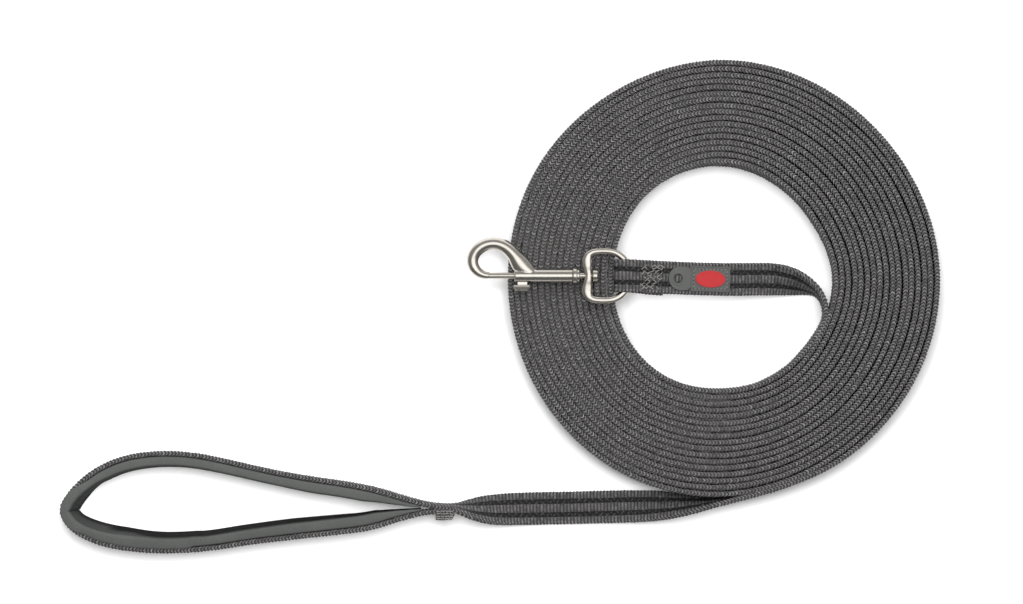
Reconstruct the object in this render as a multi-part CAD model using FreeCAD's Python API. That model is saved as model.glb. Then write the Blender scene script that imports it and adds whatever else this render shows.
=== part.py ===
import FreeCAD, Part
import math
import os

from FreeCAD import Rotation, Vector

# Training leash: a long flat strap, wound on edge into a round coil that lies on a flat surface.
# Its inner end twists flat and is sewn round the swivel eye of a bolt snap. Its outer end twists
# flat, then on edge again, and forms a padded hand loop.
#
# Millimetres. +Z is up from the surface, +X runs from the hand loop to the coil, and the origin
# is the middle of the ground that the object covers.

# ---------------------------------------------------------------- driving dimensions

STRAP_WIDTH = 17.0
STRAP_THICK = 2.4
TOUCH_GAP = 0.05          # air between pieces that only touch
JOIN_GAP = 0.65           # air where one stretch of the strap meets the next at an angle

COIL_CENTRE = Vector(113.8, 15.1, 0)
COIL_TURNS = 17
INNER_NODE_TURNS = 9      # turns in the inner coil node, counted from the middle
# radii of the coil every 30 degrees, clockwise from +X as seen from above
COIL_OUTER_RADII = [108.8, 109.5, 110.6, 111.1, 112.3, 110.8, 109.8, 109.7, 109.1, 109.9, 107.8, 107.3]
COIL_INNER_RADII = [56.2, 55.4, 55.7, 56.3, 58.5, 58.4, 57.9, 57.2, 57.5, 56.7, 54.4, 53.9]

SNAP_AXIS_Y = 15.7        # the snap lies along X on top of the coil
SNAP_AXIS_Z = 21.55
BARREL_RADIUS = 3.6
BARREL_FRONT_X = 7.3
BARREL_REAR_X = 36.9
BOLT_RADIUS = 1.65
BOLT_CLEARANCE = 0.1
BOLT_TIP_X = -5.9
BOLT_TRAVEL = 10.5
HOOK_TIP_X = -5.5

COLLAR_RADIUS = 4.4
STUD_NECK_RADIUS = 1.6
STUD_CLEARANCE = 0.08
RIVET_RADIUS = 3.4

EYE_WIRE_RADIUS = 1.7
EYE_HALF_HEIGHT = 12.35   # axis to the middle of the wire
EYE_LEFT_X = 44.1
EYE_BAR_X = 65.75         # middle of the short bar that the strap goes round
EYE_BAR_HALF = 2.0
HUB_RADIUS = 3.35
HUB_FRONT_X = 41.9
HUB_REAR_X = 46.8

LABEL_THICK = 1.5
PAD_THICK = 4.1
PAD_HEIGHT = 17.0

# route of the strap from the coil's inner turn to the snap: x, y, z, and the quarter twist in
# degrees (0 is on edge, 90 is flat)
SNAP_LEAD_ROUTE = [
    (140.2, -34.5, 8.5, 0),
    (146.7, -29.7, 8.5, 0),
    (152.3, -23.9, 8.5, 0),
    (157.4, -17.3, 8.55, 2),
    (161.0, -10.5, 8.6, 6),
    (162.2, -3.2, 8.6, 14),
    (160.8, 3.6, 8.4, 32),
    (156.6, 8.8, 8.3, 54),
    (150.2, 12.0, 8.3, 74),
    (141.7, 13.5, 8.9, 86),
    (131.6, 13.8, 10.3, 90),
    (118.0, 13.8, 13.2, 90),
    (100.0, 14.2, 17.0, 90),
    (82.0, 14.8, 20.8, 90),
    (72.2, 15.4, 22.8, 90),
]

# route of the strap from the neck of the hand loop to the coil's outer turn, given the same way
HANDLE_LEAD_ROUTE = [
    (-24.3, -101.3, 8.5, 0),
    (-19.0, -102.0, 8.6, 10),
    (-12.6, -102.6, 8.0, 30),
    (-5.0, -102.9, 6.0, 55),
    (5.2, -102.9, 3.4, 76),
    (17.9, -102.6, 1.7, 88),
    (35.9, -102.3, 1.5, 90),
    (53.8, -101.8, 1.8, 87),
    (71.8, -101.4, 3.8, 73),
    (86.1, -101.0, 6.4, 50),
    (98.3, -100.3, 8.1, 28),
    (109.6, -98.9, 8.6, 10),
    (121.7, -96.9, 8.55, 2),
    (134.1, -93.9, 8.5, 0),
    (146.1, -90.2, 8.5, 0),
]

# route of the hand loop's strap, on edge all the way, from the neck round the loop and back
HAND_LOOP_ROUTE = [
    (-24.8, -101.3),
    (-35.4, -99.6),
    (-48.5, -95.6),
    (-62.0, -92.4),
    (-78.4, -89.7),
    (-99.2, -86.7),
    (-119.4, -82.8),
    (-139.7, -77.9),
    (-156.5, -74.6),
    (-173.5, -73.9),
    (-190.5, -76.2),
    (-205.5, -82.8),
    (-216.5, -92.5),
    (-222.9, -103.0),
    (-217.3, -112.9),
    (-204.5, -119.6),
    (-188.5, -123.0),
    (-168.0, -124.1),
    (-146.2, -122.6),
    (-127.0, -119.4),
    (-105.8, -116.9),
    (-84.0, -114.5),
    (-66.0, -112.4),
    (-51.5, -107.9),
    (-40.5, -104.9),
    (-33.0, -104.0),
]
PAD_FIRST_POINT = 2       # the padding covers the loop between these points of its route
PAD_LAST_POINT = 23

ARC_SHARE = 0.45          # share of a run that an arc at its end may take


# ---------------------------------------------------------------- helpers


def unit(vector):
    return Vector(vector).normalize()


def rounded_path(points, name=None):
    """Straight runs between the points, joined by tangent arcs as large as the runs allow."""
    edges = []
    radii = []
    last = points[0]
    for before, corner, after in zip(points, points[1:], points[2:]):
        way_in = corner - before
        way_out = after - corner
        half_turn = way_in.getAngle(way_out) / 2
        reach = ARC_SHARE * min(way_in.Length, way_out.Length)
        radius = reach / math.tan(half_turn)
        radii.append(radius)
        start = corner - unit(way_in) * reach
        end = corner + unit(way_out) * reach
        depth = radius * (1 / math.cos(half_turn) - 1)
        middle = corner + unit((start + end) * 0.5 - corner) * depth
        edges.append(Part.LineSegment(last, start).toShape())
        edges.append(Part.Arc(start, middle, end).toShape())
        last = end
    edges.append(Part.LineSegment(last, points[-1]).toShape())
    if name:
        print(f"{name}: smallest bend radius {min(radii):.1f} mm")
    return Part.Wire(edges)


def band(path, left_low, left_high, z_low, z_high):
    """Sweep an upright rectangle along a level path. left_* are measured to the left of the path."""
    first = path.OrderedEdges[0]
    start = first.valueAt(first.FirstParameter)
    along = first.tangentAt(first.FirstParameter)
    left = Vector(-along.y, along.x, 0)
    corners = [
        start + left * across + Vector(0, 0, z)
        for across, z in ((left_low, z_low), (left_high, z_low), (left_high, z_high), (left_low, z_high))
    ]
    profile = Part.makePolygon(corners + corners[:1])
    return path.makePipeShell([profile], True, False)


def strap_section(before, here, after, twist_deg, width, thick):
    """The strap's rectangle at one point of a route. Its top edge turns to the right of the route."""
    along = unit(after - before)
    right = unit(Vector(along.y, -along.x, 0))
    up = right.cross(along)
    twist = math.radians(twist_deg)
    across = right * math.sin(twist) + up * math.cos(twist)
    normal = along.cross(across)
    corners = [
        here + across * (i * width / 2) + normal * (j * thick / 2)
        for i, j in ((-1, -1), (1, -1), (1, 1), (-1, 1))
    ]
    return Part.makePolygon(corners + corners[:1])


def tightest_bend(points):
    """Radius of the smallest circle through three points in a row."""
    radii = []
    for before, here, after in zip(points, points[1:], points[2:]):
        turn = (here - before).getAngle(after - here)
        radii.append((after - before).Length / 2 / max(math.sin(turn), 1e-6))
    return min(radii)


def twisted_strap(route, width=STRAP_WIDTH, thick=STRAP_THICK):
    """Loft the strap along a route of (x, y, z, twist)."""
    points = [Vector(x, y, z) for x, y, z, _ in route]
    padded = [points[0] * 2 - points[1]] + points + [points[-1] * 2 - points[-2]]
    sections = [
        strap_section(padded[i], here, padded[i + 2], route[i][3], width, thick)
        for i, here in enumerate(points)
    ]
    return Part.makeLoft(sections, True, True)


def coil_outline(radii):
    """Closed smooth curve through the coil's radii, which run clockwise."""
    step = 360 / len(radii)
    points = []
    for i, radius in enumerate(radii):
        angle = math.radians(-i * step)
        points.append(COIL_CENTRE + Vector(math.cos(angle), math.sin(angle), 0) * radius)
    curve = Part.BSplineCurve()
    curve.interpolate(Points=points, PeriodicFlag=True)
    return Part.Wire(curve.toShape())


def ring(outer_radii, inner_radii):
    """One closed solid for the space that several turns of the coil fill."""
    outside = Part.Face(coil_outline(outer_radii)).extrude(Vector(0, 0, STRAP_WIDTH))
    inside = Part.Face(coil_outline(inner_radii)).extrude(Vector(0, 0, STRAP_WIDTH))
    return outside.cut(inside)


def rod_x(radius, x_low, x_high, y=0.0, z=0.0):
    """Cylinder along X in the snap's own frame, where the barrel's axis is y = z = 0."""
    return Part.makeCylinder(radius, x_high - x_low, Vector(x_low, y, z), Vector(1, 0, 0))


def block(x_low, x_high, y_low, y_high, z_low, z_high):
    return Part.makeBox(x_high - x_low, y_high - y_low, z_high - z_low, Vector(x_low, y_low, z_low))


def soft_block(x_low, x_high, y_low, y_high, z_low, z_high, radius):
    solid = block(x_low, x_high, y_low, y_high, z_low, z_high)
    return solid.makeFillet(radius, solid.Edges)


def to_snap_axis(shape):
    """Move a piece from the snap's own frame to where the snap lies."""
    shape.translate(Vector(0, SNAP_AXIS_Y, SNAP_AXIS_Z))
    return shape


def oval_prism(centre, half_x, half_y, height):
    oval = Part.Ellipse(centre, half_x, half_y).toShape()
    return Part.Face(Part.Wire(oval)).extrude(Vector(0, 0, height))


# ---------------------------------------------------------------- webbing


def lead_bed(route):
    """The space that a lead needs beside the coil, a little larger than the lead."""
    return twisted_strap(route, STRAP_WIDTH + 2, STRAP_THICK + 2 * TOUCH_GAP)


def make_coil():
    share = INNER_NODE_TURNS / COIL_TURNS
    middle = [i + (o - i) * share for i, o in zip(COIL_INNER_RADII, COIL_OUTER_RADII)]
    inner_edge = [radius + TOUCH_GAP for radius in middle]
    inner = ring(middle, COIL_INNER_RADII).cut(lead_bed(SNAP_LEAD_ROUTE))
    outer = ring(COIL_OUTER_RADII, inner_edge).cut(lead_bed(HANDLE_LEAD_ROUTE))
    mean_radius = (sum(COIL_INNER_RADII) + sum(COIL_OUTER_RADII)) / 2 / len(middle)
    length = 2 * math.pi * mean_radius * COIL_TURNS
    print(f"coil: {COIL_TURNS} turns hold {length:.0f} mm of strap")
    return inner, outer


def make_snap_loop():
    """The strap goes over the eye's bar, round the eye and back, drawn in the XZ plane."""
    end = SNAP_LEAD_ROUTE[-1]
    start_x = end[0] - JOIN_GAP
    fold_x = 62.05
    half_gap = EYE_WIRE_RADIUS + 0.15 + STRAP_THICK / 2
    ply_step = STRAP_THICK + TOUCH_GAP
    z = SNAP_AXIS_Z
    top = [Vector(start_x, end[2], 0), Vector(66.0, z + half_gap, 0), Vector(fold_x, z + half_gap, 0)]
    bottom = [Vector(fold_x, z - half_gap, 0), Vector(66.0, z - half_gap, 0),
              Vector(start_x, end[2] - ply_step, 0)]
    bend = Part.Arc(top[-1], Vector(fold_x - half_gap, z, 0), bottom[0]).toShape()
    edges = rounded_path(top).OrderedEdges + [bend] + rounded_path(bottom).OrderedEdges
    fold = band(Part.Wire(edges), -STRAP_THICK / 2, STRAP_THICK / 2, -STRAP_WIDTH / 2, STRAP_WIDTH / 2)
    fold.rotate(Vector(0, 0, 0), Vector(1, 0, 0), 90)
    fold.translate(Vector(0, end[1], 0))
    return fold


def ply_under(route_a, route_b, from_x, to_x, depth):
    """A straight ply of strap under a flat stretch of the lead, depth below its middle."""
    a = Vector(*route_a[:3])
    b = Vector(*route_b[:3])
    along = unit(b - a)
    ends = []
    for x in (from_x, to_x):
        point = a + along * ((x - a.x) / along.x) - Vector(0, 0, depth)
        ends.append((point.x, point.y, point.z, 90))
    return twisted_strap(ends)


def make_hand_loop():
    """The strap round the hand loop, and the neoprene on its inner side, to the left of its path."""
    path = rounded_path([Vector(x, y, 0) for x, y in HAND_LOOP_ROUTE], "hand loop")
    strap = band(path, -STRAP_THICK / 2, STRAP_THICK / 2, 0, STRAP_WIDTH)
    section = STRAP_THICK * STRAP_WIDTH
    print(f"hand loop: path {path.Length:.0f} mm, volume over section {strap.Volume / section:.0f}")
    covered = Part.Wire(path.OrderedEdges[2 * PAD_FIRST_POINT - 1:2 * PAD_LAST_POINT])
    inner_side = STRAP_THICK / 2 + TOUCH_GAP
    padding = band(covered, inner_side, inner_side + PAD_THICK, 0, PAD_HEIGHT)
    return strap, padding


NECK_PLY_Y = -103.9       # middle of the ply that runs on along the neck of the hand loop
NECK_BACK_Y = NECK_PLY_Y - STRAP_THICK - 4 * TOUCH_GAP
NECK_FOLD_X = -26.9


def make_handle_strap_end():
    """The strap's end runs on along the neck and is folded back on itself."""
    start = Vector(*HAND_LOOP_ROUTE[-1], 0) + Vector(JOIN_GAP, 0, 0)
    bend_radius = (NECK_PLY_Y - NECK_BACK_Y) / 2
    turn_in = Vector(NECK_FOLD_X, NECK_PLY_Y, 0)
    turn_mid = Vector(NECK_FOLD_X + bend_radius, (NECK_PLY_Y + NECK_BACK_Y) / 2, 0)
    turn_out = Vector(NECK_FOLD_X, NECK_BACK_Y, 0)
    there = Part.LineSegment(start, turn_in).toShape()
    bend = Part.Arc(turn_in, turn_mid, turn_out).toShape()
    back = Part.LineSegment(turn_out, Vector(start.x, NECK_BACK_Y, 0)).toShape()
    return band(Part.Wire([there, bend, back]), -STRAP_THICK / 2, STRAP_THICK / 2, 0, STRAP_WIDTH)


# ---------------------------------------------------------------- sewing and label


def lead_frame(x):
    """Turn and place a piece drawn flat at the origin onto the lead's upper face at x."""
    for (x1, y1, z1, _), (x2, y2, z2, _) in zip(SNAP_LEAD_ROUTE, SNAP_LEAD_ROUTE[1:]):
        if x2 <= x <= x1:
            share = (x - x1) / (x2 - x1)
            slope = math.atan2(z2 - z1, x1 - x2)
            yaw = math.atan2(y1 - y2, x1 - x2)
            level = Rotation(Vector(0, 0, 1), math.degrees(yaw))
            turn = level * Rotation(Vector(0, 1, 0), math.degrees(slope))
            centre = Vector(x, y1 + share * (y2 - y1), z1 + share * (z2 - z1))
            face = turn.multVec(Vector(0, 0, STRAP_THICK / 2 + TOUCH_GAP))
            return FreeCAD.Placement(centre + face, turn)
    raise ValueError(x)


def on_lead(shape, x):
    shape.Placement = lead_frame(x)
    return shape


LABEL_X = 105.9
LABEL_HALF_X = 10.2
LABEL_HALF_Y = 6.9
TAB_RADIUS = 6.0
TAB_CENTRE_X = -15.6
EYELET_X = -16.8
EYELET_RADIUS = 2.35
INLAY_HALF_X = 7.9
INLAY_HALF_Y = 4.1
INLAY_DEPTH = 0.6
INLAY_PROUD = 0.3


def make_label():
    patch = block(-LABEL_HALF_X, LABEL_HALF_X, -LABEL_HALF_Y, LABEL_HALF_Y, 0, LABEL_THICK)
    upright = [e for e in patch.Edges if abs(e.tangentAt(e.FirstParameter).z) > 0.9]
    patch = patch.makeFillet(0.8, upright)
    tab = Part.makeCylinder(TAB_RADIUS, LABEL_THICK, Vector(TAB_CENTRE_X, 0, 0))
    neck = block(TAB_CENTRE_X, -LABEL_HALF_X + 1, -TAB_RADIUS, TAB_RADIUS, 0, LABEL_THICK)
    eyelet = Part.makeCylinder(EYELET_RADIUS, 2 * LABEL_THICK, Vector(EYELET_X, 0, -LABEL_THICK / 2))
    pocket = oval_prism(Vector(0, 0, LABEL_THICK - INLAY_DEPTH), INLAY_HALF_X, INLAY_HALF_Y, LABEL_THICK)
    label = patch.fuse([tab, neck]).removeSplitter().cut(eyelet).cut(pocket)
    inlay = oval_prism(Vector(0, 0, LABEL_THICK - INLAY_DEPTH + TOUCH_GAP / 2),
                       INLAY_HALF_X - TOUCH_GAP, INLAY_HALF_Y - TOUCH_GAP, INLAY_DEPTH + INLAY_PROUD)
    return on_lead(label, LABEL_X), on_lead(inlay, LABEL_X)


def make_label_stitching():
    """Stitches in a rectangle just inside the label's edge."""
    length, width, height, pitch = 1.8, 0.5, 0.25, 2.6
    half_x = LABEL_HALF_X - 1.0
    half_y = LABEL_HALF_Y - 1.0
    stitches = []
    along = int(2 * half_x / pitch)
    for i in range(along):
        x = (i - (along - 1) / 2) * pitch
        for y in (-half_y, half_y):
            stitches.append(block(x - length / 2, x + length / 2, y - width / 2, y + width / 2, 0, height))
    up = int(2 * half_y / pitch)
    for i in range(up):
        y = (i - (up - 1) / 2) * pitch
        for x in (-half_x, half_x):
            stitches.append(block(x - width / 2, x + width / 2, y - length / 2, y + length / 2, 0, height))
    group = Part.makeCompound(stitches)
    group.translate(Vector(0, 0, LABEL_THICK + TOUCH_GAP / 5))
    return on_lead(Part.makeCompound([group]), LABEL_X)


def thread_rows(length, spread, rows, width=0.7, height=0.35):
    """Rows of thread drawn flat at the origin, running along X."""
    bars = []
    for i in range(rows):
        y = (i / (rows - 1) - 0.5) * spread
        bars.append(block(-length / 2, length / 2, y - width / 2, y + width / 2, 0, height))
    return Part.makeCompound(bars)


def make_snap_bartack():
    return on_lead(thread_rows(8.6, 12.0, 8), 77.2)


def make_handle_bartack():
    """Rows of thread on the folded end's outer face."""
    tack = thread_rows(5.6, 11.0, 7)
    outer_face = NECK_BACK_Y - STRAP_THICK / 2 - TOUCH_GAP
    upright = Rotation(Vector(1, 0, 0), 90)
    tack.Placement = FreeCAD.Placement(Vector(-29.8, outer_face, STRAP_WIDTH / 2), upright)
    return tack


# ---------------------------------------------------------------- bolt snap

BORE_RADIUS = BOLT_RADIUS + BOLT_CLEARANCE
PLUG_FRONT_X = 33.0
BOLT_REAR_X = 14.0
LUG_FRONT_X = 6.1
LUG_REAR_X = 15.7
LUG_NECK_FRONT_X = 8.6
LUG_NECK_REAR_X = 14.4
LUG_PEG_X = 11.5
LUG_PEG_RADIUS = 0.9
SLOT_HALF_Z = 1.25

# middle of the cast hook, from the barrel round to its tip: x, height above the barrel's axis,
# half width in the plane of the hook, half thickness across it
HOOK_STATIONS = [
    (16.5, 0.6, 3.4, 3.2),
    (13.4, 3.0, 4.3, 3.4),
    (10.4, 5.8, 4.7, 3.4),
    (7.6, 9.6, 3.9, 3.4),
    (4.0, 13.5, 3.5, 3.3),
    (-1.9, 16.2, 3.3, 3.2),
    (-8.4, 15.2, 3.3, 3.2),
    (-12.7, 11.5, 3.2, 3.1),
    (-14.0, 7.2, 3.0, 2.9),
    (-12.6, 3.4, 2.7, 2.6),
    (-9.5, 0.9, 2.3, 2.2),
    (HOOK_TIP_X, 0.1, 1.95, 1.9),
]


def hook_sections():
    points = [Vector(x, y, 0) for x, y, _, _ in HOOK_STATIONS]
    padded = [points[0] * 2 - points[1]] + points + [points[-1] + Vector(1, 0, 0)]
    sections = []
    for i, here in enumerate(points):
        along = unit(padded[i + 2] - padded[i])
        outward = Vector(along.y, -along.x, 0)
        _, _, half_width, half_thick = HOOK_STATIONS[i]
        oval = Part.Ellipse(here + outward * half_width, here + Vector(0, 0, half_thick), here)
        sections.append(Part.Wire(oval.toShape()))
    return sections


def make_snap_body():
    hook = Part.makeLoft(hook_sections(), True, False)
    barrel = rod_x(BARREL_RADIUS, BARREL_FRONT_X, BARREL_REAR_X)
    body = barrel.fuse(hook)
    bore = rod_x(BORE_RADIUS, HOOK_TIP_X - 0.6, BARREL_REAR_X + 1)
    slot_rear = LUG_NECK_REAR_X + BOLT_TRAVEL + 0.4
    slot_low = -BARREL_RADIUS - 2
    slot = block(BARREL_FRONT_X - 3, slot_rear, slot_low, -BOLT_RADIUS / 2, -SLOT_HALF_Z, SLOT_HALF_Z)
    body = body.cut(bore).cut(slot)
    return to_snap_axis(max(body.Solids, key=lambda solid: solid.Volume))


def make_bolt_rod():
    rod = rod_x(BOLT_RADIUS, BOLT_TIP_X, BOLT_REAR_X)
    ends = [e for e in rod.Edges if e.Curve.TypeId == "Part::GeomCircle"]
    rod = rod.makeChamfer(0.35, ends)
    peg_hole = Part.makeCylinder(LUG_PEG_RADIUS + 0.01, 4, Vector(LUG_PEG_X, -3, 0), Vector(0, 1, 0))
    return to_snap_axis(rod.cut(peg_hole))


def make_thumb_lug():
    head = soft_block(LUG_FRONT_X, LUG_REAR_X, -8.1, -4.7, -2.7, 2.7, 0.9)
    neck = block(LUG_NECK_FRONT_X, LUG_NECK_REAR_X, -5.2, -BOLT_RADIUS - TOUCH_GAP, -1.05, 1.05)
    peg = Part.makeCylinder(LUG_PEG_RADIUS, 3.2, Vector(LUG_PEG_X, -2.4, 0), Vector(0, 1, 0))
    return to_snap_axis(head.fuse([neck, peg]).removeSplitter())


def make_bolt_spring():
    wire_radius = 0.22
    coil_radius = BORE_RADIUS - wire_radius - 0.1
    length = PLUG_FRONT_X - BOLT_REAR_X - 2 * wire_radius - 4 * TOUCH_GAP
    turns = 13
    helix = Part.makeHelix(length / turns, length, coil_radius)
    profile = Part.Wire(Part.makeCircle(wire_radius, Vector(coil_radius, 0, 0), Vector(0, 1, 0)))
    spring = Part.Wire(helix.Edges).makePipeShell([profile], True, True)
    spring.rotate(Vector(0, 0, 0), Vector(0, 1, 0), 90)
    spring.translate(Vector(BOLT_REAR_X + wire_radius + 2 * TOUCH_GAP, 0, 0))
    return to_snap_axis(spring)


def make_swivel_stud():
    plug = rod_x(BORE_RADIUS - 0.01, PLUG_FRONT_X, BARREL_REAR_X + TOUCH_GAP)
    collar = rod_x(COLLAR_RADIUS, BARREL_REAR_X + TOUCH_GAP, 38.9)
    step = rod_x(3.6, 38.9, 40.2)
    neck = rod_x(STUD_NECK_RADIUS, 40.2, HUB_REAR_X + 0.1)
    head = rod_x(RIVET_RADIUS, HUB_REAR_X + 0.1, 49.7)
    rims = [e for s, x in ((collar, 38.9), (step, 40.2), (head, 49.7)) for e in s.Edges
            if e.Curve.TypeId == "Part::GeomCircle" and abs(e.Curve.Center.x - x) < 0.01]
    collar = collar.makeFillet(0.5, rims[:1])
    step = step.makeFillet(0.4, rims[1:2])
    head = head.makeFillet(1.2, rims[2:3])
    return to_snap_axis(plug.fuse([collar, step, neck, head]))


def make_swivel_eye():
    """D-shaped loop of wire, with a bored hub on its straight side."""
    top = EYE_HALF_HEIGHT
    bow_radius = top - EYE_BAR_HALF
    bow_x = EYE_BAR_X - bow_radius
    corner = 7.6
    half = math.sqrt(0.5)
    edges = []
    for side in (1, -1):
        left = Vector(EYE_LEFT_X, side * 0.5, 0)
        turn_in = Vector(EYE_LEFT_X, side * (top - corner), 0)
        turn_mid = Vector(EYE_LEFT_X + corner * (1 - half), side * (top - corner + corner * half), 0)
        turn_out = Vector(EYE_LEFT_X + corner, side * top, 0)
        bow_in = Vector(bow_x, side * top, 0)
        bow_mid = Vector(bow_x + bow_radius * half, side * (EYE_BAR_HALF + bow_radius * half), 0)
        bow_out = Vector(EYE_BAR_X, side * EYE_BAR_HALF, 0)
        arm = [
            Part.LineSegment(left, turn_in).toShape(),
            Part.Arc(turn_in, turn_mid, turn_out).toShape(),
            Part.LineSegment(turn_out, bow_in).toShape(),
            Part.Arc(bow_in, bow_mid, bow_out).toShape(),
        ]
        edges += arm if side > 0 else arm[::-1]
        if side > 0:
            edges.append(Part.LineSegment(bow_out, bow_out - Vector(0, 2 * EYE_BAR_HALF, 0)).toShape())
    path = Part.Wire(edges)
    profile = Part.Wire(Part.makeCircle(EYE_WIRE_RADIUS, Vector(EYE_LEFT_X, 0.5, 0), Vector(0, 1, 0)))
    wire = path.makePipeShell([profile], True, False)
    shoulder = Part.makeCylinder(2.3, 11.0, Vector(EYE_LEFT_X, -5.5, 0), Vector(0, 1, 0))
    ends = [e for e in shoulder.Edges if e.Curve.TypeId == "Part::GeomCircle"]
    shoulder = shoulder.makeFillet(0.55, ends)
    hub = rod_x(HUB_RADIUS, HUB_FRONT_X, HUB_REAR_X)
    rims = [e for e in hub.Edges if e.Curve.TypeId == "Part::GeomCircle"]
    hub = hub.makeFillet(0.6, rims)
    bore = rod_x(STUD_NECK_RADIUS + STUD_CLEARANCE, HUB_FRONT_X - 2, HUB_REAR_X + 2)
    return to_snap_axis(wire.fuse([shoulder, hub]).cut(bore))


# ---------------------------------------------------------------- the object


def make_nodes():
    for name, route in (("snap lead", SNAP_LEAD_ROUTE), ("handle lead", HANDLE_LEAD_ROUTE)):
        print(f"{name}: smallest bend radius {tightest_bend([Vector(*p[:3]) for p in route]):.1f} mm")
    inner, outer = make_coil()
    hand_loop, padding = make_hand_loop()
    label, inlay = make_label()
    return {
        "coil_inner_turns": inner,
        "coil_outer_turns": outer,
        "snap_lead": twisted_strap(SNAP_LEAD_ROUTE),
        "snap_loop": make_snap_loop(),
        "snap_strap_end": ply_under(SNAP_LEAD_ROUTE[-1], SNAP_LEAD_ROUTE[-2],
                                    SNAP_LEAD_ROUTE[-1][0] + JOIN_GAP, 81.7, STRAP_THICK + 3 * TOUCH_GAP),
        "handle_lead": twisted_strap(HANDLE_LEAD_ROUTE),
        "hand_loop_strap": hand_loop,
        "handle_strap_end": make_handle_strap_end(),
        "loop_padding": padding,
        "snap_bartack": make_snap_bartack(),
        "handle_bartack": make_handle_bartack(),
        "label": label,
        "label_inlay": inlay,
        "label_stitching": make_label_stitching(),
        "snap_body": make_snap_body(),
        "bolt_rod": make_bolt_rod(),
        "thumb_lug": make_thumb_lug(),
        "bolt_spring": make_bolt_spring(),
        "swivel_stud": make_swivel_stud(),
        "swivel_eye": make_swivel_eye(),
    }


def main():
    os.makedirs("parts", exist_ok=True)
    nodes = make_nodes()
    for name, shape in nodes.items():
        shape.exportStep(os.path.join("parts", name + ".step"))
        box = shape.optimalBoundingBox(False, False)
        print(f"{name}: {len(shape.Solids)} solids, valid {shape.isValid()}, {shape.Volume:.0f} mm3, "
              f"x {box.XMin:.1f} {box.XMax:.1f}, y {box.YMin:.1f} {box.YMax:.1f}, "
              f"z {box.ZMin:.2f} {box.ZMax:.2f}")
    whole = Part.makeCompound(list(nodes.values())).optimalBoundingBox(False, False)
    print(f"whole: x {whole.XMin:.2f} {whole.XMax:.2f}, y {whole.YMin:.2f} {whole.YMax:.2f}, "
          f"z {whole.ZMin:.2f} {whole.ZMax:.2f}")


main()
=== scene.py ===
import math

import bmesh
import bpy
import numpy as np
from mathutils import Matrix, Vector


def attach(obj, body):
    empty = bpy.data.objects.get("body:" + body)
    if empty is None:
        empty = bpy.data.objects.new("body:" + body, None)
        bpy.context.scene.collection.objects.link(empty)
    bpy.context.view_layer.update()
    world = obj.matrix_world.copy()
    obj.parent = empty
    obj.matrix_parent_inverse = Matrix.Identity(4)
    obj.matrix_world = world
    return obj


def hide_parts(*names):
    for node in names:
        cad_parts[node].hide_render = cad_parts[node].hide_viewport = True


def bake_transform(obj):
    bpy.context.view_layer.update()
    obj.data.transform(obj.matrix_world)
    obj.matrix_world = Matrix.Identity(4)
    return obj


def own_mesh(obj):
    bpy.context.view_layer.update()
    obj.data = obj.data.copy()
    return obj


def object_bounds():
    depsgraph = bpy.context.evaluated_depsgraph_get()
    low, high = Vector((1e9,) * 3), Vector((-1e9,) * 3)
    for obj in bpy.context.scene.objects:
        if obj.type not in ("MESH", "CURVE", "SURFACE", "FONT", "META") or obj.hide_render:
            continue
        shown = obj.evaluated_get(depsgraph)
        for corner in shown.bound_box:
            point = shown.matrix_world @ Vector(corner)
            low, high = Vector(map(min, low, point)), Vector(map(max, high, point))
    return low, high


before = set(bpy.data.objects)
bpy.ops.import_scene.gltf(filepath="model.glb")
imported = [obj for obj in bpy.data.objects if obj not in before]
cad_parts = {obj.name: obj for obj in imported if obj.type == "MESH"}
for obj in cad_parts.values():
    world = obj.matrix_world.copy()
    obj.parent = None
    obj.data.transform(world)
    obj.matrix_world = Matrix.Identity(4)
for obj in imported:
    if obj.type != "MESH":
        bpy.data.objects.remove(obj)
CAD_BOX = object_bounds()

# A coiled training leash: nearly 10 m of rubberised webbing with a padded hand loop and a bolt snap.
# Metres, in the CAD frame. One smooth line runs down the middle of the whole strap, from the cut
# end at the snap to the cut end at the hand loop, and a second line runs along its edge.

MM = 0.001
STRAP_WIDTH = 17.0 * MM
STRAP_THICK = 2.4 * MM
RIB_PITCH = 1.72 * MM
STEPS_PER_RIB = 6

COIL_CENTRE = Vector((113.8, 15.1, 0)) * MM
COIL_OUTER_RADII = [108.8, 109.5, 110.6, 111.1, 112.3, 110.8, 109.8, 109.7, 109.1, 109.9, 107.8, 107.3]
COIL_INNER_RADII = [55.2, 55.4, 55.9, 56.4, 58.8, 58.8, 58.3, 57.4, 57.8, 57.8, 54.6, 52.7]
COIL_START_DEG = 45       # where the innermost turn begins and the outermost ends, clockwise from +X
COIL_END_DEG = 88
COIL_TURNS = 17
POINTS_PER_TURN = 24
INNER_TURNS = 9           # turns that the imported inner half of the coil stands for
FIRST_COIL_POINT_DEG = 75
COIL_WANDER = ((0.13, 14.9, 0.4), (0.08, 34.3, 1.9))    # size in mm, rate by turn, and phase
COIL_GAPS = ((-0.3, 0.12, 0.52), (0.1, 1.1, 1.6))       # size in mm, and the turns it runs between
INNER_GIVE = (1.4, 1.0, 0.6, 0.3)   # in mm: the inner turns give a little under the snap end
COIL_LEAN = 1.3 * MM
COIL_LIFT = 0.12 * MM

UP = Vector((0, 0, 1))


def new_object(name, data):
    """An object with this data, in the scene."""
    made = bpy.data.objects.new(name, data)
    bpy.context.scene.collection.objects.link(made)
    return made


# ---------------------------------------------------------------- camera

CAMERA_LENS = 207.4
CAMERA_PLACE = (0.0058, 0.0024, 3.0)


def make_camera():
    """Straight down on the leash, with +Y at the top of the picture."""
    data = bpy.data.cameras.new("camera")
    data.sensor_width = 36
    data.lens = CAMERA_LENS
    camera = new_object("camera", data)
    camera.location = CAMERA_PLACE
    bpy.context.scene.camera = camera


make_camera()


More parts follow.
